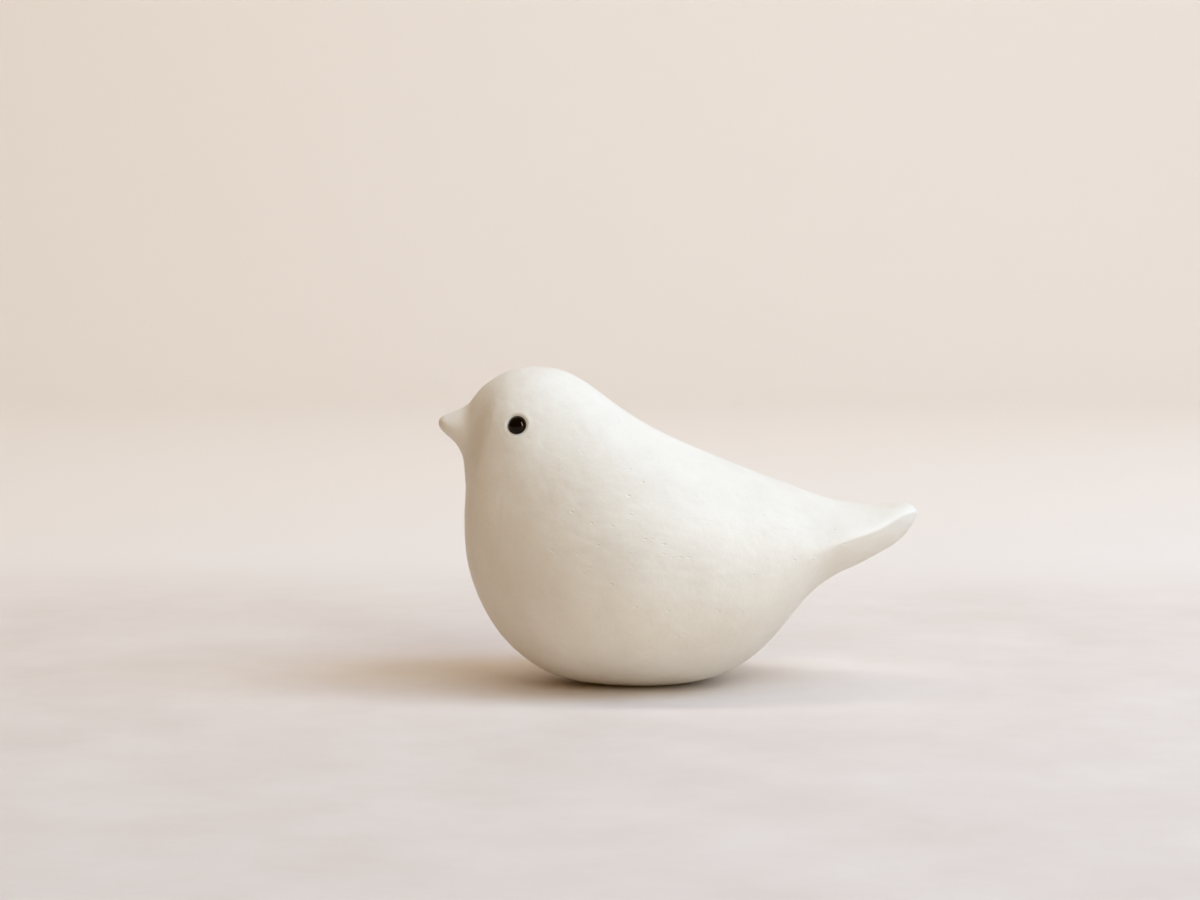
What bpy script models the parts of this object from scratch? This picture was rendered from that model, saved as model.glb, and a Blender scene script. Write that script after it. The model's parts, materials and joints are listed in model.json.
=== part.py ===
"""A plump ceramic bird with two black glass bead eyes, standing on a flat foot.

The bird faces -X with +Z up, and the origin is the middle of the foot on the floor.
The body is one smooth skin drawn over ribs. Each rib is a slice across the bird, from a
point on the back to a point on the belly, with its own width. The ribs are shares of the
bird's length, height and width, so each of those three sizes can be set by itself.
"""

import math

import bmesh
import bpy
import numpy as np
from mathutils import Vector
from mathutils.bvhtree import BVHTree

MM = 0.001

# Main sizes in millimetres
LENGTH = 119.2
HEIGHT = 79.4
WIDTH = 65.8

# Bead eyes in millimetres
BEAD_RADIUS = 2.5
BEAD_CLEARANCE = 0.3
BEAD_SUNK = 1.6

# Where the eyes are, as shares of the length from the foot and of the height
EYE_ALONG = -0.2470
EYE_UP = 0.8325

# Ribs from beak tip to tail tip. The columns are: back along and up, belly along and up,
# width, height of the widest place as a share of the rib, fullness of the sides and
# fullness of the top and bottom, where 2 is an ellipse.
RIBS = (
    # Beak
    (-0.4131, 0.8227, -0.4131, 0.8227, 0.000, 0.50, 1.90, 1.90),
    (-0.4062, 0.8400, -0.4086, 0.8020, 0.059, 0.50, 1.85, 1.85),
    (-0.3926, 0.8503, -0.3968, 0.7836, 0.094, 0.49, 1.72, 1.75),
    (-0.3768, 0.8589, -0.3834, 0.7646, 0.117, 0.49, 1.65, 1.72),
    (-0.3622, 0.8688, -0.3723, 0.7442, 0.135, 0.50, 1.65, 1.72),
    # Face, from the root of the beak to the crown and the throat
    (-0.3492, 0.8831, -0.3640, 0.7165, 0.155, 0.52, 1.70, 1.78),
    (-0.3369, 0.9062, -0.3602, 0.6842, 0.179, 0.55, 1.85, 1.90),
    (-0.3214, 0.9324, -0.3580, 0.6463, 0.219, 0.58, 2.00, 2.10),
    (-0.3003, 0.9575, -0.3573, 0.6022, 0.292, 0.60, 2.00, 2.20),
    (-0.2733, 0.9796, -0.3590, 0.5485, 0.380, 0.61, 2.00, 2.15),
    (-0.2410, 0.9939, -0.3592, 0.4852, 0.444, 0.62, 2.00, 2.05),
    (-0.2057, 0.9983, -0.3563, 0.4095, 0.502, 0.60, 2.00, 2.00),
    # Nape and breast
    (-0.1693, 0.9918, -0.3438, 0.3247, 0.562, 0.55, 2.00, 1.95),
    (-0.1319, 0.9715, -0.3187, 0.2342, 0.641, 0.48, 2.00, 1.90),
    (-0.0914, 0.9336, -0.2696, 0.1298, 0.766, 0.43, 2.00, 1.80),
    (-0.0420, 0.8775, -0.1825, 0.0353, 0.909, 0.42, 2.00, 1.80),
    # Shoulders and belly, which the floor cuts flat
    (0.0269, 0.8109, -0.0770, -0.0006, 0.991, 0.43, 2.00, 1.90),
    (0.1114, 0.7504, 0.0287, -0.0055, 0.985, 0.45, 2.00, 2.00),
    (0.1946, 0.6986, 0.1346, 0.0120, 0.918, 0.48, 2.00, 2.00),
    # Rump
    (0.2681, 0.6552, 0.2180, 0.0620, 0.836, 0.50, 2.00, 2.00),
    (0.3369, 0.6161, 0.2870, 0.1546, 0.754, 0.53, 2.05, 1.85),
    # Tail, with a ridge along each side
    (0.3977, 0.5837, 0.3458, 0.2649, 0.672, 0.57, 2.15, 1.65),
    (0.4484, 0.5663, 0.4038, 0.3380, 0.590, 0.62, 2.20, 1.55),
    (0.4904, 0.5592, 0.4538, 0.3740, 0.502, 0.67, 2.20, 1.55),
    (0.5241, 0.5628, 0.4941, 0.4037, 0.398, 0.72, 2.20, 1.60),
    (0.5510, 0.5677, 0.5281, 0.4309, 0.283, 0.77, 2.20, 1.65),
    (0.5710, 0.5653, 0.5551, 0.4606, 0.191, 0.79, 2.15, 1.75),
    (0.5836, 0.5521, 0.5743, 0.4943, 0.103, 0.78, 2.10, 1.85),
    (0.5856, 0.5298, 0.5856, 0.5298, 0.000, 0.70, 2.05, 2.00),
)

# How the skin is cut into facets
STATIONS = 70
AROUND = 56
TURNED_RIBS = 3
SLENDER_SHARE = 0.2
SNAP_SHARE = 0.001
SHARP_ANGLE = math.radians(20.0)
BEAD_RINGS = 14
BEAD_SEGMENTS = 24

# Finishes
CERAMIC_COLOUR = (0.78, 0.74, 0.68)
CERAMIC_ROUGHNESS = 0.38
BEAD_COLOUR = (0.006, 0.005, 0.004)
BEAD_ROUGHNESS = 0.05


def clear_objects():
    """Start from an empty file."""
    for old in list(bpy.data.objects):
        bpy.data.objects.remove(old, do_unlink=True)


def material(name, colour, roughness):
    """Make a non-metal finish."""
    finish = bpy.data.materials.new(name)
    finish.use_nodes = True
    shader = finish.node_tree.nodes["Principled BSDF"]
    shader.inputs["Base Color"].default_value = (*colour, 1.0)
    shader.inputs["Roughness"].default_value = roughness
    shader.inputs["Metallic"].default_value = 0.0
    return finish


def sized_ribs():
    """Turn the shares into millimetres: back x, z, belly x, z, half width, and the three shape columns."""
    sizes = (LENGTH, HEIGHT, LENGTH, HEIGHT, WIDTH / 2.0)
    ribs = np.array(RIBS)
    ribs[:, : len(sizes)] *= sizes
    return ribs


def carried_round(ribs):
    """Carry the ribs on past both tips, turned over, so that the skin closes in a round nose."""
    turned = ribs.copy()
    turned[:, 0:2] = ribs[:, 2:4]
    turned[:, 2:4] = ribs[:, 0:2]
    turned[:, 4] = -ribs[:, 4]
    return np.concatenate((turned[TURNED_RIBS:0:-1], ribs, turned[-2 : -2 - TURNED_RIBS : -1]))


def spline(knots, rows, at):
    """Run a natural cubic spline through the rows, one at each knot."""
    count = len(knots)
    gap = np.diff(knots)
    slope = np.diff(rows, axis=0) / gap[:, None]
    left = np.eye(count)
    right = np.zeros(rows.shape)
    for k in range(1, count - 1):
        left[k, k - 1] = gap[k - 1]
        left[k, k] = 2.0 * (gap[k - 1] + gap[k])
        left[k, k + 1] = gap[k]
        right[k] = 6.0 * (slope[k] - slope[k - 1])
    bend = np.linalg.solve(left, right)
    k = np.clip(np.searchsorted(knots, at, side="right") - 1, 0, count - 2)
    span = gap[k][:, None]
    far = (at - knots[k])[:, None] / span
    near = 1.0 - far
    sag = bend[k] * near * (1.0 - near**2) + bend[k + 1] * far * (1.0 - far**2)
    return rows[k] * near + rows[k + 1] * far - sag * span**2 / 6.0


def stations():
    """Space ribs over the skin between the given ones, closer where the bird is slender."""
    ribs = carried_round(sized_ribs())
    move = np.diff(ribs, axis=0)
    step = (np.hypot(move[:, 0], move[:, 1]) + np.hypot(move[:, 2], move[:, 3])) / 2.0
    knots = np.concatenate(([0.0], np.cumsum(np.sqrt(step))))
    fine = np.linspace(knots[TURNED_RIBS], knots[-1 - TURNED_RIBS], 4001)
    shape = spline(knots, ribs, fine)
    change = np.abs(np.diff(shape, axis=0))
    travel = np.maximum(np.hypot(change[:, 0], change[:, 1]), np.hypot(change[:, 2], change[:, 3]))
    travel = np.maximum(travel, change[:, 4]) / (SLENDER_SHARE * WIDTH / 2.0 + shape[1:, 4])
    length = np.concatenate(([0.0], np.cumsum(travel)))
    at = np.interp(np.linspace(0.0, length[-1], STATIONS), length, fine)
    return spline(knots, ribs, at)


def rounded(value, fullness):
    """Bend a sine or cosine towards a fuller or leaner curve."""
    return math.copysign(abs(value) ** (2.0 / fullness), value)


def rib_points(rib):
    """Walk once around a rib."""
    back_x, back_z, belly_x, belly_z, half_width, widest, side, top = rib
    points = []
    for k in range(AROUND):
        turn = 2.0 * math.pi * k / AROUND
        lift = rounded(math.cos(turn), top)
        share = widest + (1.0 - widest if lift > 0.0 else widest) * lift
        x = belly_x + (back_x - belly_x) * share
        y = half_width * rounded(math.sin(turn), side)
        z = belly_z + (back_z - belly_z) * share
        if abs(z) < SNAP_SHARE * HEIGHT:
            z = 0.0
        points.append(Vector((x, y, z)) * MM)
    return points


def body_skin():
    """Loft the whole bird and cut it off flat at the floor."""
    skin = bmesh.new()
    ribs = stations()
    beak_tip = skin.verts.new(Vector((ribs[0][0], 0.0, ribs[0][1])) * MM)
    tail_tip = skin.verts.new(Vector((ribs[-1][0], 0.0, ribs[-1][1])) * MM)
    loops = []
    for rib in ribs[1:-1]:
        loops.append([skin.verts.new(point) for point in rib_points(rib)])
    for k in range(AROUND):
        after = (k + 1) % AROUND
        skin.faces.new((beak_tip, loops[0][k], loops[0][after]))
        skin.faces.new((tail_tip, loops[-1][after], loops[-1][k]))
        for first, second in zip(loops, loops[1:]):
            skin.faces.new((first[k], second[k], second[after], first[after]))
    everything = skin.verts[:] + skin.edges[:] + skin.faces[:]
    floor = {"plane_co": (0.0, 0.0, 0.0), "plane_no": (0.0, 0.0, -1.0), "clear_outer": True}
    cut = bmesh.ops.bisect_plane(skin, geom=everything, dist=1e-7, **floor)
    rim = [item for item in cut["geom_cut"] if isinstance(item, bmesh.types.BMEdge) and item.is_boundary]
    bmesh.ops.edgeloop_fill(skin, edges=rim)
    bmesh.ops.recalc_face_normals(skin, faces=skin.faces)
    return skin


def new_object(name, source, finish):
    """Turn a bmesh into a named, smooth-shaded object."""
    mesh = bpy.data.meshes.new(name)
    source.to_mesh(mesh)
    source.free()
    mesh.materials.append(finish)
    mesh.shade_smooth()
    mesh.set_sharp_from_angle(angle=SHARP_ANGLE)
    made = bpy.data.objects.new(name, mesh)
    bpy.context.scene.collection.objects.link(made)
    return made


def ball(centre, radius):
    """Make a ball with its poles fore and aft of the Y axis, so that even facets face the side."""
    made = bmesh.new()
    bmesh.ops.create_uvsphere(made, u_segments=BEAD_SEGMENTS, v_segments=BEAD_RINGS, radius=radius)
    for vertex in made.verts:
        x, y, z = vertex.co
        vertex.co = Vector((x, -z, y)) + centre
    return made


def left_bead_centre(skin):
    """Sink the left bead below the skin along the skin's own normal."""
    tree = BVHTree.FromBMesh(skin)
    start = Vector((EYE_ALONG * LENGTH, -WIDTH, EYE_UP * HEIGHT)) * MM
    point, normal, _, _ = tree.ray_cast(start, Vector((0.0, 1.0, 0.0)))
    return point - normal * BEAD_SUNK * MM


def cut_socket(body, name, centre):
    """Cut a round socket that clears the bead all round."""
    hollow = ball(centre, (BEAD_RADIUS + BEAD_CLEARANCE) * MM)
    cutter = new_object(name, hollow, body.data.materials[0])
    cutter.hide_render = True
    cutter.display_type = "WIRE"
    socket = body.modifiers.new(name, "BOOLEAN")
    socket.operation = "DIFFERENCE"
    socket.solver = "EXACT"
    socket.object = cutter


def build():
    """Make the body with its sockets, and the two beads."""
    clear_objects()
    ceramic = material("satin_ceramic", CERAMIC_COLOUR, CERAMIC_ROUGHNESS)
    glass = material("black_glass", BEAD_COLOUR, BEAD_ROUGHNESS)
    skin = body_skin()
    left = left_bead_centre(skin)
    right = Vector((left.x, -left.y, left.z))
    body = new_object("body", skin, ceramic)
    for side, centre in (("left", left), ("right", right)):
        cut_socket(body, side + "_socket_cutter", centre)
        new_object(side + "_eye", ball(centre, BEAD_RADIUS * MM), glass)


build()
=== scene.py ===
# %% [markdown]
# # A ceramic bird with bead eyes
#
# The object is a plump little bird, slip-cast in clay with a satin off-white glaze. Two black
# glass beads are its eyes. It stands by itself on a small flat foot.
#
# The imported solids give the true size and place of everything, so the lesson starts by loading
# them. Each solid is then dressed with a finer piece that shows what the solid leaves out: the
# lip round each eye, the pinholes in the clay and the unevenness of a surface wiped by hand.

# %% Load the solids that everything is fitted to
import json
import math

import bmesh
import bpy
import numpy as np
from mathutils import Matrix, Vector, noise
from mathutils.bvhtree import BVHTree
from mathutils.kdtree import KDTree

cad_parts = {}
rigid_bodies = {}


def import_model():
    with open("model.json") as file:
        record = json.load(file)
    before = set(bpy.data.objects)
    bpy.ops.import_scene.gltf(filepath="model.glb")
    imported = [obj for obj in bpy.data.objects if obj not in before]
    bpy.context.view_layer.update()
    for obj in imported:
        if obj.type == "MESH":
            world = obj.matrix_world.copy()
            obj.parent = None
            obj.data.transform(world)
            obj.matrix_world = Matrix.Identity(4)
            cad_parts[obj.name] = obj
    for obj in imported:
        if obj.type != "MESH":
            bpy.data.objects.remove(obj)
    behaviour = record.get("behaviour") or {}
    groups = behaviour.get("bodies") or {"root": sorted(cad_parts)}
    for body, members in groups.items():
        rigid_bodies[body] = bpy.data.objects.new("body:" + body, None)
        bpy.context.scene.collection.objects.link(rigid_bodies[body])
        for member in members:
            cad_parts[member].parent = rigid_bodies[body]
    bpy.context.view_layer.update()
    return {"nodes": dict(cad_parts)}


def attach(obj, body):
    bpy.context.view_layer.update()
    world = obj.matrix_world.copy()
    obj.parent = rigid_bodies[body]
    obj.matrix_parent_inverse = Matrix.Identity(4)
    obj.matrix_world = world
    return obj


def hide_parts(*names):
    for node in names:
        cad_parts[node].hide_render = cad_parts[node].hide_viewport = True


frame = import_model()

MM = 0.001

print("solids:", ", ".join(sorted(frame["nodes"])))

# %% [markdown]
# ## The ribs
#
# A free form like this has no straight edge to measure from. A boat builder's way suits it: ribs
# are set up along the length, and a smooth skin is bent over them. Each rib here is a slice from
# a point on the back to a point on the belly, and it has its own width.
#
# Sculpting would also give the shape, but ribs can be read and changed, and the solid was drawn
# over the same ones. So the fine skin lies on the solid everywhere.
#
# The first ribs were placed one by one on the photograph. A fitting script then moved their ends
# until the outline lay on the photograph's, and it printed the rows that stand here. The widths
# are guesses, as the photograph shows only the side.

# %% The main sizes and the ribs
LENGTH = 119.2
HEIGHT = 79.4
WIDTH = 65.8

# The columns are: back along and up, belly along and up, width, height of the widest place as a
# share of the rib, fullness of the sides and fullness of the top and bottom, where 2 is an ellipse.
RIBS = (
    # Beak
    (-0.4131, 0.8227, -0.4131, 0.8227, 0.000, 0.50, 1.90, 1.90),
    (-0.4062, 0.8400, -0.4086, 0.8020, 0.059, 0.50, 1.85, 1.85),
    (-0.3926, 0.8503, -0.3968, 0.7836, 0.094, 0.49, 1.72, 1.75),
    (-0.3768, 0.8589, -0.3834, 0.7646, 0.117, 0.49, 1.65, 1.72),
    (-0.3622, 0.8688, -0.3723, 0.7442, 0.135, 0.50, 1.65, 1.72),
    # Face, from the root of the beak to the crown and the throat
    (-0.3492, 0.8831, -0.3640, 0.7165, 0.155, 0.52, 1.70, 1.78),
    (-0.3369, 0.9062, -0.3602, 0.6842, 0.179, 0.55, 1.85, 1.90),
    (-0.3214, 0.9324, -0.3580, 0.6463, 0.219, 0.58, 2.00, 2.10),
    (-0.3003, 0.9575, -0.3573, 0.6022, 0.292, 0.60, 2.00, 2.20),
    (-0.2733, 0.9796, -0.3590, 0.5485, 0.380, 0.61, 2.00, 2.15),
    (-0.2410, 0.9939, -0.3592, 0.4852, 0.444, 0.62, 2.00, 2.05),
    (-0.2057, 0.9983, -0.3563, 0.4095, 0.502, 0.60, 2.00, 2.00),
    # Nape and breast
    (-0.1693, 0.9918, -0.3438, 0.3247, 0.562, 0.55, 2.00, 1.95),
    (-0.1319, 0.9715, -0.3187, 0.2342, 0.641, 0.48, 2.00, 1.90),
    (-0.0914, 0.9336, -0.2696, 0.1298, 0.766, 0.43, 2.00, 1.80),
    (-0.0420, 0.8775, -0.1825, 0.0353, 0.909, 0.42, 2.00, 1.80),
    # Shoulders and belly, which the floor cuts flat
    (0.0269, 0.8109, -0.0770, -0.0006, 0.991, 0.43, 2.00, 1.90),
    (0.1114, 0.7504, 0.0287, -0.0055, 0.985, 0.45, 2.00, 2.00),
    (0.1946, 0.6986, 0.1346, 0.0120, 0.918, 0.48, 2.00, 2.00),
    # Rump
    (0.2681, 0.6552, 0.2180, 0.0620, 0.836, 0.50, 2.00, 2.00),
    (0.3369, 0.6161, 0.2870, 0.1546, 0.754, 0.53, 2.05, 1.85),
    # Tail, with a ridge along each side
    (0.3977, 0.5837, 0.3458, 0.2649, 0.672, 0.57, 2.15, 1.65),
    (0.4484, 0.5663, 0.4038, 0.3380, 0.590, 0.62, 2.20, 1.55),
    (0.4904, 0.5592, 0.4538, 0.3740, 0.502, 0.67, 2.20, 1.55),
    (0.5241, 0.5628, 0.4941, 0.4037, 0.398, 0.72, 2.20, 1.60),
    (0.5510, 0.5677, 0.5281, 0.4309, 0.283, 0.77, 2.20, 1.65),
    (0.5710, 0.5653, 0.5551, 0.4606, 0.191, 0.79, 2.15, 1.75),
    (0.5836, 0.5521, 0.5743, 0.4943, 0.103, 0.78, 2.10, 1.85),
    (0.5856, 0.5298, 0.5856, 0.5298, 0.000, 0.70, 2.05, 2.00),
)
TURNED_RIBS = 3

ribs = np.array(RIBS)
ribs[:, :5] *= (LENGTH, HEIGHT, LENGTH, HEIGHT, WIDTH / 2.0)
print(len(ribs), "ribs from beak to tail")

# %% [markdown]
# ## A smooth run between the ribs
#
# A strip of wood bent through fixed points takes the shape of a cubic spline, so a spline gives
# every rib in between. At each tip the ribs are carried on past the end, turned over. The skin
# then meets itself there in a round nose and not in a cone.

# %% A spline through the ribs
def carried_round(rows):
    """Carry the ribs on past both tips, turned over."""
    turned = rows.copy()
    turned[:, 0:2] = rows[:, 2:4]
    turned[:, 2:4] = rows[:, 0:2]
    turned[:, 4] = -rows[:, 4]
    return np.concatenate((turned[TURNED_RIBS:0:-1], rows, turned[-2 : -2 - TURNED_RIBS : -1]))


def spline(knots, rows, at):
    """Run a natural cubic spline through the rows, one at each knot."""
    count = len(knots)
    gap = np.diff(knots)
    slope = np.diff(rows, axis=0) / gap[:, None]
    left = np.eye(count)
    right = np.zeros(rows.shape)
    for k in range(1, count - 1):
        left[k, k - 1] = gap[k - 1]
        left[k, k] = 2.0 * (gap[k - 1] + gap[k])
        left[k, k + 1] = gap[k]
        right[k] = 6.0 * (slope[k] - slope[k - 1])
    bend = np.linalg.solve(left, right)
    k = np.clip(np.searchsorted(knots, at, side="right") - 1, 0, count - 2)
    span = gap[k][:, None]
    far = (at - knots[k])[:, None] / span
    near = 1.0 - far
    sag = bend[k] * near * (1.0 - near**2) + bend[k + 1] * far * (1.0 - far**2)
    return rows[k] * near + rows[k + 1] * far - sag * span**2 / 6.0


all_ribs = carried_round(ribs)
move = np.diff(all_ribs, axis=0)
step = (np.hypot(move[:, 0], move[:, 1]) + np.hypot(move[:, 2], move[:, 3])) / 2.0
knots = np.concatenate(([0.0], np.cumsum(np.sqrt(step))))
TIPS = (knots[TURNED_RIBS], knots[-1 - TURNED_RIBS])

# %% A point of the skin
def skin_points(along, turn):
    """Skin points in mm. Along runs from tip to tip, and turn from 0 at the back to pi at the belly."""
    rib = spline(knots, all_ribs, np.ravel(along)).reshape(*np.shape(along), ribs.shape[1])
    lift = np.sign(np.cos(turn)) * np.abs(np.cos(turn)) ** (2.0 / rib[..., 7])
    side = np.sign(np.sin(turn)) * np.abs(np.sin(turn)) ** (2.0 / rib[..., 6])
    widest = rib[..., 5]
    share = widest + np.where(lift > 0.0, 1.0 - widest, widest) * lift
    x = rib[..., 2] + (rib[..., 0] - rib[..., 2]) * share
    z = rib[..., 3] + (rib[..., 1] - rib[..., 3]) * share
    return np.stack((x, np.abs(rib[..., 4]) * side, z), axis=-1)


sample = skin_points(np.array(TIPS), np.zeros(2))
print("beak tip and tail tip in mm:", sample.round(1).tolist())

# %% [markdown]
# ## Where the lines of the skin run
#
# The skin is a net of lines along and round the bird. The eyes are under 5 mm across and need a
# closer net than the back does. So the lines are spaced by a density that rises near the eyes,
# and also where the bird is slender.

# %% Find the eye on the skin
EYE_ALONG = -0.2470
EYE_UP = 0.8325
COARSE_ALONG = 601
COARSE_ROUND = 401

coarse_along, coarse_turn = np.meshgrid(
    np.linspace(*TIPS, COARSE_ALONG),
    np.linspace(-math.pi, 0.0, COARSE_ROUND),
    indexing="ij",
)
coarse = skin_points(coarse_along, coarse_turn)
miss = np.hypot(coarse[..., 0] - EYE_ALONG * LENGTH, coarse[..., 2] - EYE_UP * HEIGHT)
nearest = np.unravel_index(np.argmin(miss), miss.shape)
eye_along = coarse_along[nearest]
eye_turn = coarse_turn[nearest]
print("left eye on the skin in mm:", coarse[nearest].round(2).tolist())

# %% Space the lines
LINES_ALONG = 250
LINES_ROUND = 272
SLENDER = 0.2
EYE_CLOSER = 1.6
EYE_REACH = 7.0
FINE_STEPS = 6001


def evenly(position, density, count, closed=False):
    """Place lines so that each gap holds the same share of the density."""
    step = np.diff(position) * (density[1:] + density[:-1]) / 2.0
    total = np.concatenate(([0.0], np.cumsum(step)))
    return np.interp(np.linspace(0.0, total[-1], count, endpoint=not closed), total, position)


def near_eye(distance):
    """A smooth hill over the eye, one high and falling away over the reach."""
    return np.exp(-((distance / EYE_REACH) ** 2))


fine = np.linspace(*TIPS, FINE_STEPS)
shape = spline(knots, all_ribs, fine)
change = np.abs(np.gradient(shape, fine, axis=0))
travel = np.maximum(np.hypot(change[:, 0], change[:, 1]), np.hypot(change[:, 2], change[:, 3]))
travel = np.maximum(travel, change[:, 4])
beside_eye = np.linalg.norm(skin_points(fine, np.full(fine.shape, eye_turn)) - coarse[nearest], axis=1)
density = travel / (SLENDER * WIDTH / 2.0 + np.abs(shape[:, 4])) * (1.0 + EYE_CLOSER * near_eye(beside_eye))
lines_along = evenly(fine, density, LINES_ALONG)

circle = np.linspace(-math.pi, math.pi, FINE_STEPS)
round_eye = skin_points(np.full(circle.shape, eye_along), -np.abs(circle))
above_eye = np.linalg.norm(round_eye - coarse[nearest], axis=1)
lines_round = evenly(circle, 1.0 + EYE_CLOSER * near_eye(above_eye), LINES_ROUND, closed=True)
print("net of", LINES_ALONG, "by", LINES_ROUND, "lines")

# %% [markdown]
# ## The sockets
#
# On the real bird a bead was pressed into a hole while the clay was soft, and the clay was drawn
# in a little all round it, with a low lip outside. A lathe would turn that shape, so it is drawn
# as a lathe profile: rings of the net near each eye are pulled on to true circles, and each circle
# then follows the profile from the bottom of the socket, over its edge, out along the dip in the
# cheek and over the lip.
#
# The circles grow with the net's own spacing. Otherwise the lines would crowd together where
# circles and squares meet, and crowded lines show as a crease.

# %% The socket's profile
BEAD_RADIUS = 2.5
BEAD_SUNK = 1.6
SOCKET_RADIUS = 2.62
MOUTH_RADIUS = 2.27
EDGE_ROUND = 0.05
DIP_DEPTH = 0.45
DIP_REACH = 0.45
LIP_HEIGHT = 0.09
LIP_PLACE = 0.8
LIP_REACH = 0.45
CAVITY_RINGS = 7
DIP_RINGS = 10
BLEND_RINGS = 12
CROWDING = 1.4
ALL_RINGS = CAVITY_RINGS + DIP_RINGS + BLEND_RINGS

cavity_end = math.pi - math.asin(MOUTH_RADIUS / SOCKET_RADIUS)


def dip(radius):
    """Height of the drawn-in clay at this distance from the bead's axis, with a low lip outside."""
    outwards = max(radius - MOUTH_RADIUS, 0.0)
    lip = LIP_HEIGHT * math.exp(-(((outwards - LIP_PLACE) / LIP_REACH) ** 2))
    return lip - DIP_DEPTH * math.exp(-outwards / DIP_REACH)


def socket_rings(cheek_radius):
    """List (radius, depth below the cheek or None, height on the cheek) from the middle outwards."""
    rings = []
    for k in range(CAVITY_RINGS + 1):
        angle = cavity_end * k / CAVITY_RINGS
        depth = -BEAD_SUNK - SOCKET_RADIUS * math.cos(angle)
        rings.append((SOCKET_RADIUS * math.sin(angle), min(depth, -DIP_DEPTH - EDGE_ROUND), 0.0))
    for k in range(1, DIP_RINGS + 1):
        first_radius = MOUTH_RADIUS + EDGE_ROUND
        radius = first_radius + (cheek_radius - first_radius) * (k / DIP_RINGS) ** CROWDING
        rings.append((radius, None, dip(radius)))
    return rings


print(ALL_RINGS, "rings, mouth", 2.0 * MOUTH_RADIUS, "mm across")

# %% [markdown]
# ## The fine skin
#
# The net's points are worked out, the rings near each eye are moved on to their circles, and
# the belly is cut off flat. A bisection makes the cut, because it keeps every other point where
# it was.

# %% Rings round an eye
ARM = 3
CAST_FROM = 8.0


def ring_place(row, column):
    """Which square ring a net point is on, and its angle round that ring."""
    ring = max(abs(row), abs(column))
    if ring == 0:
        return 0, 0.0
    if row == ring and column < ring:
        walked = ring + column
    elif column == ring:
        walked = 3 * ring - row
    elif row == -ring:
        walked = 5 * ring - column
    else:
        walked = 7 * ring + row
    return ring, math.tau * (walked / (8 * ring)) - math.pi / 4.0


def own_radius(points, row, column, ring):
    """Mean distance in mm from the eye to the net's own ring, along its four arms."""
    ends = ((ring, 0), (-ring, 0), (0, ring), (0, -ring))
    middle = points[row, column]
    return float(np.mean([np.linalg.norm(points[row + i, column + j] - middle) for i, j in ends]))


def patch_tree(points, row, column, reach):
    """Make the untouched skin round an eye into a surface that rays can be cast at."""
    patch = points[row - reach : row + reach + 1, column - reach : column + reach + 1]
    wide = patch.shape[1]
    faces = []
    for i in range(patch.shape[0] - 1):
        for j in range(wide - 1):
            corner = i * wide + j
            faces.append((corner, corner + wide, corner + wide + 1, corner + 1))
    return BVHTree.FromPolygons(patch.reshape(-1, 3).tolist(), faces)


def set_socket(points, row, column, facing):
    """Pull the net round one eye on to circles and sink the socket. Works in mm."""
    tree = patch_tree(points, row, column, 2 * ALL_RINGS)
    centre = Vector(points[row, column])
    ahead = Vector(points[row + ARM, column] - points[row - ARM, column]).normalized()
    across = Vector(points[row, column + ARM] - points[row, column - ARM])
    normal = ahead.cross(across).normalized()
    if normal.y * facing < 0.0:
        normal = -normal
    across = (across - ahead * across.dot(ahead)).normalized()
    rings = socket_rings(own_radius(points, row, column, CAVITY_RINGS + DIP_RINGS))
    moved = {}
    for i in range(1 - ALL_RINGS, ALL_RINGS):
        for j in range(1 - ALL_RINGS, ALL_RINGS):
            ring, angle = ring_place(i, j)
            old = Vector(points[row + i, column + j]) - centre
            if ring < len(rings):
                radius, depth, height = rings[ring]
                pull = 1.0
            else:
                radius = own_radius(points, row, column, ring)
                depth, height = None, dip(radius)
                outwards = (ring - len(rings) + 1) / BLEND_RINGS
                pull = 1.0 - outwards * outwards * (3.0 - 2.0 * outwards)
            flat = ahead * (radius * math.cos(angle)) + across * (radius * math.sin(angle))
            flat = flat * pull + (old - normal * old.dot(normal)) * (1.0 - pull)
            if depth is None:
                hit = tree.ray_cast(centre + flat + normal * CAST_FROM, -normal)[0]
                moved[row + i, column + j] = hit + normal * height
            else:
                moved[row + i, column + j] = centre + flat + normal * depth
    for place, point in moved.items():
        points[place] = point
    return centre, normal


# %% Lay out the net and set both sockets
net_along, net_round = np.meshgrid(lines_along, lines_round, indexing="ij")
net = skin_points(net_along, net_round)
eye_row = int(np.argmin(np.abs(lines_along - eye_along)))
eye_columns = {
    "left": int(np.argmin(np.abs(lines_round - eye_turn))),
    "right": int(np.argmin(np.abs(lines_round + eye_turn))),
}
eyes = {}
for side, facing in (("left", -1.0), ("right", 1.0)):
    centre, normal = set_socket(net, eye_row, eye_columns[side], facing)
    eyes[side] = (centre, normal)
    print(side, "eye centre in mm:", [round(v, 2) for v in centre], "faces", [round(v, 2) for v in normal])

# %% [markdown]
# ## Unevenness left by the hand
#
# The casting was wiped with a damp sponge before firing, so its surface swells and dips by under
# a tenth of a millimetre over a thumb's width. The sponge's edge also left dabs about 2 mm across
# and just as shallow. Smooth noise moves each point in or out by that much. It is enough to bend a
# highlight, and far too little to change the outline.

# %% Wiped by hand
WIPE_LENGTH = 17.0
WIPE_DEPTH = 0.09
DAB_LENGTH = 2.2
DAB_DEPTH = 0.07
DAB_SHIFT = Vector((7.0, 3.0, 1.0))


def wiped(place):
    """Height of the uneven surface at a place, in mm."""
    broad = noise.noise(place / WIPE_LENGTH)
    small = noise.noise(place / DAB_LENGTH + DAB_SHIFT)
    return WIPE_DEPTH * broad + DAB_DEPTH * small


print("wiped surface varies by", round(2.0 * (WIPE_DEPTH + DAB_DEPTH), 2), "mm at most")
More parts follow.
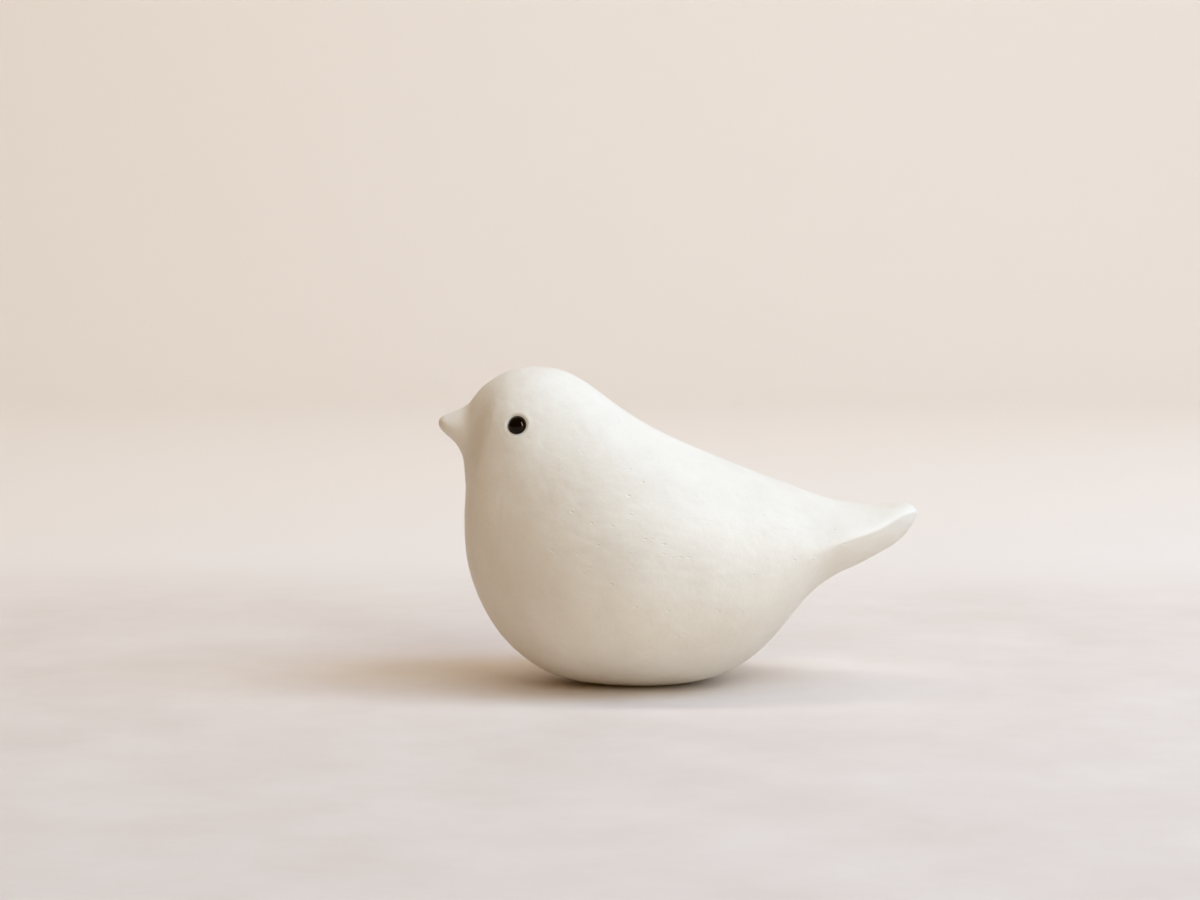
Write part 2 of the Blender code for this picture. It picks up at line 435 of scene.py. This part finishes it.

# %% [markdown]
# ## Pinholes
#
# Gas that left the clay in the kiln made pinholes, drawn here 0.56 to 1.0 mm across. The net's own
# gaps are nearly as wide, so it is divided again just where a pinhole lies, and the new points are
# pressed in. One row with a depth below nought is a raised speck.
#
# The ones on the left side that the photograph shows have their own places, which started from
# a computed list of its dark and light spots. The rest are scattered by a random number generator
# with a fixed seed, so that they fall in the same places each time.

# %% Choose the pinholes
# Along and up in mm on the left side, radius and depth
SEEN_PITS = (
    (-6.3, 29.1, 0.36, 0.28),
    (1.7, 39.8, 0.30, 0.20),
    (3.5, 39.8, 0.28, 0.18),
    (10.2, 35.4, 0.34, 0.14),
    (12.1, 35.4, 0.30, 0.13),
    (-20.7, 36.6, 0.34, 0.14),
    (7.2, 22.6, 0.42, 0.17),
    (24.9, 21.7, 0.30, 0.18),
    (10.5, 16.6, 0.32, 0.18),
    (-6.1, 42.7, 0.33, 0.17),
    (-15.9, 45.8, 0.38, 0.13),
    (37.9, 33.9, 0.34, 0.14),
    (42.3, 33.7, 0.36, 0.14),
    (-2.8, 6.5, 0.28, 0.17),
    (-11.7, 32.9, 0.36, 0.13),
    (-14.5, 36.0, 0.33, 0.13),
    (-19.5, 35.4, 0.28, 0.17),
    (-13.3, 59.4, 0.30, 0.15),
    (50.1, 37.2, 0.40, 0.20),
    (60.7, 37.1, 0.30, 0.14),
    (67.0, 42.1, 0.30, 0.14),
    (-1.5, 45.7, 0.34, -0.13),
)
SCATTERED_PITS = 80
PIT_RADII = (0.28, 0.50)
PIT_DEPTHS = (0.09, 0.20)
PIT_SEED = 11
PIT_CUTS = 3
PIT_REACH = 1.9
RIM_SHARE = 0.16
RIM_PLACE = 1.25
RIM_REACH = 0.3
CLEAR_OF_EYE = 8.0
CLEAR_OF_FLOOR = 3.0
SCATTER_MIDDLE = Vector((5.0, 0.0, 36.0))


def choose_pits(tree):
    """List (middle, radius, depth) in mm for every pinhole on the skin."""
    pits = []
    for along, up, radius, depth in SEEN_PITS:
        place = tree.ray_cast(Vector((along, -WIDTH, up)) * MM, Vector((0.0, 1.0, 0.0)))[0]
        pits.append((place / MM, radius, depth))
    random = np.random.default_rng(PIT_SEED)
    while len(pits) < len(SEEN_PITS) + SCATTERED_PITS:
        outwards = Vector(random.normal(size=3)).normalized()
        size, deep = random.uniform(size=2)
        place = tree.ray_cast((SCATTER_MIDDLE + outwards * 2.0 * LENGTH) * MM, -outwards)[0]
        clear = min((place / MM - centre).length for centre, _ in eyes.values()) > CLEAR_OF_EYE
        if clear and place.z > CLEAR_OF_FLOOR * MM:
            radius = PIT_RADII[0] + (PIT_RADII[1] - PIT_RADII[0]) * size
            depth = PIT_DEPTHS[0] + (PIT_DEPTHS[1] - PIT_DEPTHS[0]) * deep
            pits.append((place / MM, radius, depth))
    return pits


print(len(SEEN_PITS), "pinholes with a place of their own and", SCATTERED_PITS, "scattered")


# %% Press the pinholes in
def pit_height(share):
    """Height at a share of the pinhole's radius, for a depth of one, with a low rim just outside."""
    hollow = -((1.0 - share * share) ** 2) if share < 1.0 else 0.0
    return hollow + RIM_SHARE * math.exp(-(((share - RIM_PLACE) / RIM_REACH) ** 2))


def prick(skin):
    """Divide the net at every pinhole and press the pinholes in."""
    tree = BVHTree.FromBMesh(skin)
    pits = choose_pits(tree)
    skin.faces.ensure_lookup_table()
    near = {}
    for middle, radius, _ in pits:
        for found in tree.find_nearest_range(middle * MM, radius * PIT_REACH * MM):
            for edge in skin.faces[found[2]].edges:
                near[edge] = True
    bmesh.ops.subdivide_edges(skin, edges=list(near), cuts=PIT_CUTS, use_grid_fill=True)
    skin.normal_update()
    points = KDTree(len(skin.verts))
    for index, vertex in enumerate(skin.verts):
        points.insert(vertex.co, index)
    points.balance()
    skin.verts.ensure_lookup_table()
    for middle, radius, depth in pits:
        for place, index, away in points.find_range(middle * MM, radius * PIT_REACH * MM):
            vertex = skin.verts[index]
            vertex.co = place + vertex.normal * (depth * pit_height(away / (radius * MM)) * MM)
    return len(pits)


# %% Build the body
def new_piece(name, source, finish_slot, *nodes):
    """Turn a bmesh into a smooth piece that stands for CAD nodes."""
    mesh = bpy.data.meshes.new(name)
    source.to_mesh(mesh)
    source.free()
    mesh.shade_smooth()
    piece = bpy.data.objects.new(name, mesh)
    bpy.context.scene.collection.objects.link(piece)
    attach(piece, "root")
    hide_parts(*nodes)
    return piece


def body_mesh():
    """Join the net's points into a closed skin with a flat foot."""
    skin = bmesh.new()
    beak_tip = skin.verts.new(Vector(net[0, 0]) * MM)
    tail_tip = skin.verts.new(Vector(net[-1, 0]) * MM)
    rows = [[skin.verts.new(Vector(point) * MM) for point in row] for row in net[1:-1]]
    for k in range(LINES_ROUND):
        after = (k + 1) % LINES_ROUND
        skin.faces.new((beak_tip, rows[0][k], rows[0][after]))
        skin.faces.new((tail_tip, rows[-1][after], rows[-1][k]))
        for first, second in zip(rows, rows[1:]):
            skin.faces.new((first[k], second[k], second[after], first[after]))
    bmesh.ops.recalc_face_normals(skin, faces=skin.faces)
    skin.normal_update()
    for vertex in skin.verts:
        place = vertex.co / MM
        vertex.co += vertex.normal * (wiped(place) * MM)
    print("pinholes:", prick(skin))
    everything = skin.verts[:] + skin.edges[:] + skin.faces[:]
    floor = {"plane_co": (0.0, 0.0, 0.0), "plane_no": (0.0, 0.0, -1.0), "clear_outer": True}
    cut = bmesh.ops.bisect_plane(skin, geom=everything, dist=1e-7, **floor)
    rim = [item for item in cut["geom_cut"] if isinstance(item, bmesh.types.BMEdge) and item.is_boundary]
    bmesh.ops.edgeloop_fill(skin, edges=rim)
    for edge in rim:
        edge.smooth = False
    bmesh.ops.recalc_face_normals(skin, faces=skin.faces)
    return skin


body = new_piece("ceramic_body", body_mesh(), "satin_ceramic", "body")
print("body:", len(body.data.vertices), "points,", len(body.data.polygons), "faces")

# %% Compare the fine skin with the solid
solid = frame["nodes"]["body"].data
tree = BVHTree.FromPolygons([v.co for v in solid.vertices], [list(p.vertices) for p in solid.polygons])
gaps = [tree.find_nearest(v.co)[3] / MM for v in body.data.vertices]
print("skin to solid in mm: middle", round(float(np.median(gaps)), 3), "most", round(max(gaps), 2))

# %% [markdown]
# ## The bead eyes
#
# The eyes are black glass beads. A bead made on a rod is a little flattened where it was broken
# off, here at the hidden back. So it is turned like a lathe piece, from a profile.

# %% Turn a bead
BEAD_SEGMENTS = 72
BEAD_STEPS = 40
BEAD_FLAT = 2.2


def bead(side):
    """Lathe a bead about the eye's axis, with its hidden back flattened."""
    centre, normal = eyes[side]
    middle_point = centre - normal * BEAD_SUNK
    ahead = normal.orthogonal().normalized()
    across = normal.cross(ahead)
    turned = bmesh.new()
    front = turned.verts.new((middle_point + normal * BEAD_RADIUS) * MM)
    back = turned.verts.new((middle_point - normal * BEAD_FLAT) * MM)
    loops = []
    for k in range(1, BEAD_STEPS):
        angle = math.pi * k / BEAD_STEPS
        height = max(BEAD_RADIUS * math.cos(angle), -BEAD_FLAT)
        radius = BEAD_RADIUS * math.sin(angle)
        loop = []
        for j in range(BEAD_SEGMENTS):
            turn = math.tau * j / BEAD_SEGMENTS
            out = ahead * math.cos(turn) + across * math.sin(turn)
            loop.append(turned.verts.new((middle_point + out * radius + normal * height) * MM))
        loops.append(loop)
    for j in range(BEAD_SEGMENTS):
        after = (j + 1) % BEAD_SEGMENTS
        turned.faces.new((front, loops[0][j], loops[0][after]))
        turned.faces.new((back, loops[-1][after], loops[-1][j]))
        for first, second in zip(loops, loops[1:]):
            turned.faces.new((first[j], second[j], second[after], first[after]))
    bmesh.ops.recalc_face_normals(turned, faces=turned.faces)
    return new_piece(side + "_bead", turned, "black_glass", side + "_eye")


beads = [bead("left"), bead("right")]
print("beads:", len(beads), "of", 2 * BEAD_RADIUS, "mm")

# %% [markdown]
# ## Colours and nodes
#
# Colours are written as a screen shows them, in hex. Blender mixes light in linear values, so one
# function turns them. Another adds a shader node with its settings and links in one call, which
# keeps a material readable from top to bottom.

# %% Helpers for materials
def linear(code):
    """Turn an sRGB hex colour into linear RGBA."""
    values = [int(code[k : k + 2], 16) / 255.0 for k in (1, 3, 5)]
    values = [v / 12.92 if v <= 0.04045 else ((v + 0.055) / 1.055) ** 2.4 for v in values]
    return (*values, 1.0)


def add(tree, kind, links=None, **settings):
    """Add a node. Names of sockets that start with a capital are inputs, and the rest are properties."""
    node = tree.nodes.new(kind)
    for name, value in settings.items():
        if name[0].isupper():
            node.inputs[name.replace("_", " ")].default_value = value
        else:
            setattr(node, name, value)
    for name, source in (links or {}).items():
        tree.links.new(source, node.inputs[name])
    return node


def new_material(name):
    """Make an empty material with its output, and return both."""
    made = bpy.data.materials.new(name)
    made.use_nodes = True
    made.node_tree.nodes.clear()
    output = made.node_tree.nodes.new("ShaderNodeOutputMaterial")
    return made, made.node_tree, output


# %% [markdown]
# ## Satin-glazed white clay
#
# The finish looks like an off-white clay under a thin satin glaze. Besides the pinholes, which
# are cut in the skin, the eye sees four things in it: a weak broad sheen, a faint warm mottle
# where the glaze is thinner, smears left by wiping and a fine grain from the clay.
#
# The mottle is about 11 mm across, the smears 1.3 mm and the grain half a millimetre, so each
# pattern's scale is one over its size. They are drawn in object space, which stays on the bird
# from every side. The refractive index is below the 1.5 of a real glaze, which keeps the sheen as
# weak as in the photograph.

# %% Make the ceramic
MOTTLE_SIZE = 11.0
SMEAR_SIZE = 1.3
GRAIN_SIZE = 0.55


def one_over(size_mm):
    """A noise scale that gives features of this size."""
    return 1.0 / (size_mm * MM)


ceramic, tree, output = new_material("satin_glazed_clay")
place = add(tree, "ShaderNodeTexCoord").outputs["Object"]
mottle = add(tree, "ShaderNodeTexNoise", {"Vector": place}, Scale=one_over(MOTTLE_SIZE))
mottle.inputs["Detail"].default_value = 5.0
mottle.inputs["Roughness"].default_value = 0.6
grain = add(tree, "ShaderNodeTexNoise", {"Vector": place}, Scale=one_over(GRAIN_SIZE))
grain.inputs["Detail"].default_value = 3.0
grain.inputs["Roughness"].default_value = 0.6
tone = add(tree, "ShaderNodeValToRGB", {"Fac": mottle.outputs["Fac"]})
tone.color_ramp.elements[0].position = 0.30
tone.color_ramp.elements[0].color = linear("#E6DFD1")
tone.color_ramp.elements[1].position = 0.70
tone.color_ramp.elements[1].color = linear("#EDE8DB")
fleck = add(tree, "ShaderNodeValToRGB", {"Fac": grain.outputs["Fac"]})
fleck.color_ramp.elements[0].position = 0.26
fleck.color_ramp.elements[0].color = linear("#D9CFC0")
fleck.color_ramp.elements[1].position = 0.46
fleck.color_ramp.elements[1].color = linear("#FFFFFF")
colour = add(tree, "ShaderNodeMix", data_type="RGBA", blend_type="MULTIPLY")
colour.inputs["Factor"].default_value = 0.15
tree.links.new(tone.outputs["Color"], colour.inputs[6])
tree.links.new(fleck.outputs["Color"], colour.inputs[7])
smears = add(tree, "ShaderNodeTexNoise", {"Vector": place}, Scale=one_over(SMEAR_SIZE), Detail=2.0)
uneven = add(tree, "ShaderNodeBump", {"Height": smears.outputs["Fac"]}, Strength=0.5, Distance=0.10 * MM)
bumps = add(tree, "ShaderNodeBump", {
    "Height": grain.outputs["Fac"],
    "Normal": uneven.outputs[0],
}, Strength=0.3, Distance=0.05 * MM)
shine = add(tree, "ShaderNodeMapRange", {"Value": grain.outputs["Fac"]})
shine.inputs["To Min"].default_value = 0.40
shine.inputs["To Max"].default_value = 0.52
glaze = add(tree, "ShaderNodeBsdfPrincipled", {
    "Base Color": colour.outputs[2],
    "Roughness": shine.outputs[0],
    "Normal": bumps.outputs[0],
}, IOR=1.34)
tree.links.new(glaze.outputs[0], output.inputs[0])
body.data.materials.append(ceramic)
print("ceramic:", len(tree.nodes), "nodes")

# %% [markdown]
# ## Black glass
#
# The beads are black glass, so dark that no light comes through. All that shows is the mirror of
# one window strip and of the room in a polished surface, with very faint ripples. The refractive
# index is below the 1.5 of real glass, because the bead in the photograph mirrors the table less
# than real glass would.

# %% Make the glass
RIPPLE_SIZE = 1.2

glass, tree, output = new_material("black_bead_glass")
place = add(tree, "ShaderNodeTexCoord").outputs["Object"]
ripple = add(tree, "ShaderNodeTexNoise", {"Vector": place}, Scale=one_over(RIPPLE_SIZE), Detail=1.0)
soft = add(tree, "ShaderNodeBump", {"Height": ripple.outputs["Fac"]}, Strength=0.1, Distance=0.02 * MM)
shell = add(tree, "ShaderNodeBsdfPrincipled", {"Normal": soft.outputs[0]}, Roughness=0.08, IOR=1.3)
shell.inputs["Base Color"].default_value = linear("#070403")
shell.inputs["Specular Tint"].default_value = linear("#FFE3C8")
tree.links.new(shell.outputs[0], output.inputs[0])
for piece in beads:
    piece.data.materials.append(glass)

# %% [markdown]
# ## Floor and backdrop
#
# A sheet of pale paper lies under the bird and curves up behind it, as in a small studio. One
# curved sheet has no line where the floor meets the wall. Faint clouds in its colour are about
# 45 mm across. From 0.10 to 0.26 m behind the bird it grows a little paler, partly as paler paper
# and partly as painted light that makes the wall look more brightly lit.

# %% Sweep the paper
FLOOR_HALF = 2.5
CURVE_START = 0.95
CURVE_RADIUS = 0.6
WALL_TOP = 2.2
CURVE_STEPS = 24
# Between these two distances behind the bird the paper turns paler, partly as paler paper and partly as
# painted light for a brighter wall.
PALE_PAPER_AND_PAINTED_LIGHT_FROM = 0.10
PALE_PAPER_AND_PAINTED_LIGHT_TO = 0.26
CLOUD_SIZE = 45.0
PAPER_GAP = 0.05

paper = bmesh.new()
profile = [(-FLOOR_HALF, 0.0), (CURVE_START, 0.0)]
for k in range(1, CURVE_STEPS + 1):
    angle = math.pi / 2.0 * k / CURVE_STEPS
    profile.append((CURVE_START + CURVE_RADIUS * math.sin(angle), CURVE_RADIUS * (1.0 - math.cos(angle))))
profile.append((CURVE_START + CURVE_RADIUS, WALL_TOP))
edges = []
for x in (-FLOOR_HALF, FLOOR_HALF):
    edges.append([paper.verts.new((x, y, z - PAPER_GAP * MM)) for y, z in profile])
for k in range(len(profile) - 1):
    paper.faces.new((edges[0][k], edges[1][k], edges[1][k + 1], edges[0][k + 1]))
mesh = bpy.data.meshes.new("paper_sweep")
paper.to_mesh(mesh)
paper.free()
mesh.shade_smooth()
sweep = bpy.data.objects.new("paper_sweep", mesh)
bpy.context.scene.collection.objects.link(sweep)

sheet, tree, output = new_material("pale_paper")
place = add(tree, "ShaderNodeTexCoord").outputs["Object"]
clouds = add(tree, "ShaderNodeTexNoise", {"Vector": place}, Scale=one_over(CLOUD_SIZE))
clouds.inputs["Detail"].default_value = 7.0
clouds.inputs["Roughness"].default_value = 0.62
tint = add(tree, "ShaderNodeValToRGB", {"Fac": clouds.outputs["Fac"]})
tint.color_ramp.elements[0].position = 0.34
tint.color_ramp.elements[0].color = linear("#DED2C7")
tint.color_ramp.elements[1].position = 0.66
tint.color_ramp.elements[1].color = linear("#E5DBD1")
# Painted light in part: the sheet turns paler behind the bird, partly as paler paper and partly as painted
# light that brightens the wall.
depth = add(tree, "ShaderNodeSeparateXYZ", {"Vector": place})
paler_and_painted_light_share = add(tree, "ShaderNodeMapRange", {"Value": depth.outputs["Y"]}, interpolation_type="SMOOTHSTEP")
paler_and_painted_light_share.inputs["From Min"].default_value = PALE_PAPER_AND_PAINTED_LIGHT_FROM
paler_and_painted_light_share.inputs["From Max"].default_value = PALE_PAPER_AND_PAINTED_LIGHT_TO
paler_paper_and_painted_light = add(tree, "ShaderNodeMix", {"Factor": paler_and_painted_light_share.outputs[0]}, data_type="RGBA")
tree.links.new(tint.outputs["Color"], paler_paper_and_painted_light.inputs[6])
paler_paper_and_painted_light.inputs[7].default_value = linear("#EAE2D9")
matt = add(tree, "ShaderNodeBsdfPrincipled", {"Base Color": paler_paper_and_painted_light.outputs[2]}, Roughness=0.85)
tree.links.new(matt.outputs[0], output.inputs[0])
sweep.data.materials.append(sheet)
print("paper:", len(sweep.data.polygons), "faces,", 2.0 * FLOOR_HALF, "m wide")

# %% [markdown]
# ## Light
#
# The photograph looks lit by one big soft window on the right. Three groups of panes stand for it:
# low ones to the right, high ones, and ones further round to the front. Their light is slightly
# blue. What fills the shade is warm, as if it came off a wooden room, and that gives the breast
# its tan. A light on the wall behind keeps the paper even.
#
# A broad source rather than a small one matters here, as it gives the soft shadow on the table.
# In a bead it would show as a wide pale patch, though, and the photograph has a narrow one. So
# the panes aren't mirrored, and a strip that is only mirrored, and lights nothing, takes their place.
# The powers and colours came from a computed fit to the tones of the photograph and were then
# changed one by one.

# %% Hang the lights
BIRD_MIDDLE = Vector((0.0, 0.0, 40.0)) * MM
WINDOW_AWAY = 1.6


def panel(name, place, target, wide, tall, watts, colour_code, mirrored=False):
    """Hang a flat light that faces its target. A mirrored one shows in reflections and lights nothing."""
    light = bpy.data.lights.new(name, "AREA")
    light.shape = "RECTANGLE"
    light.size = wide
    light.size_y = tall
    light.energy = watts
    light.color = linear(colour_code)[:3]
    lamp = bpy.data.objects.new(name, light)
    bpy.context.scene.collection.objects.link(lamp)
    lamp.visible_camera = False
    lamp.visible_diffuse = not mirrored
    lamp.visible_glossy = mirrored
    lamp.location = place
    lamp.rotation_euler = (target - lamp.location).to_track_quat("-Z", "Y").to_euler()
    return lamp


def towards(bearing, height):
    """A place by the window. Bearing is in degrees from +X towards the camera, height above level."""
    turn, rise = math.radians(bearing), math.radians(height)
    level = math.cos(rise)
    direction = Vector((level * math.cos(turn), -level * math.sin(turn), math.sin(rise)))
    return BIRD_MIDDLE + WINDOW_AWAY * direction


panel("low_panes", towards(8.0, 36.0), BIRD_MIDDLE, 0.72, 1.25, 9.6, "#B6D7FF")
panel("high_panes", towards(25.0, 52.0), BIRD_MIDDLE, 0.95, 0.95, 12.6, "#C0DCFF")
panel("side_panes", towards(60.0, 30.0), BIRD_MIDDLE, 0.95, 0.95, 10.4, "#DCF0FF")
panel("window_edge", towards(36.0, 27.0), BIRD_MIDDLE, 0.30, 1.20, 22.0, "#FFF4E6", mirrored=True)
panel("warm_room", Vector((0.2, -2.2, 1.1)), Vector((0.0, 0.0, 0.1)), 3.0, 1.8, 7.0, "#FFCC4C")
panel("on_the_wall", Vector((0.0, 0.25, 1.5)), Vector((0.0, 1.5, 0.35)), 2.4, 0.4, 16.8, "#FCFDF8")

world = bpy.data.worlds.new("dim_room")
bpy.context.scene.world = world
world.use_nodes = True
room = world.node_tree.nodes["Background"]
room.inputs["Color"].default_value = linear("#FFB644")
room.inputs["Strength"].default_value = 0.18
print("lights:", len(bpy.data.lights))

view = bpy.context.scene.view_settings
view.view_transform = "Standard"
view.look = "None"
view.exposure = 0.0

# %% [markdown]
# ## Camera
#
# The photograph was taken from a little above the bird's own level, and looks as if a longish lens
# was used. The lens, the distance and the dip are assumed, and the ribs were fitted to the outline
# as this camera sees it.

# %% Set the camera
LENS = 85.0
CAMERA_PLACE = Vector((-9.1, -702.4, 122.3)) * MM
CAMERA_DIP = 5.2
SENSOR_WIDTH = 36.0
CLOSEST = 0.01

camera = bpy.data.objects.new("camera", bpy.data.cameras.new("camera"))
bpy.context.scene.collection.objects.link(camera)
camera.data.lens = LENS
camera.data.sensor_width = SENSOR_WIDTH
camera.data.clip_start = CLOSEST
camera.location = CAMERA_PLACE
camera.rotation_euler = (math.radians(90.0 - CAMERA_DIP), 0.0, 0.0)
bpy.context.scene.camera = camera
print("camera", round(CAMERA_PLACE.length, 2), "m from the foot")
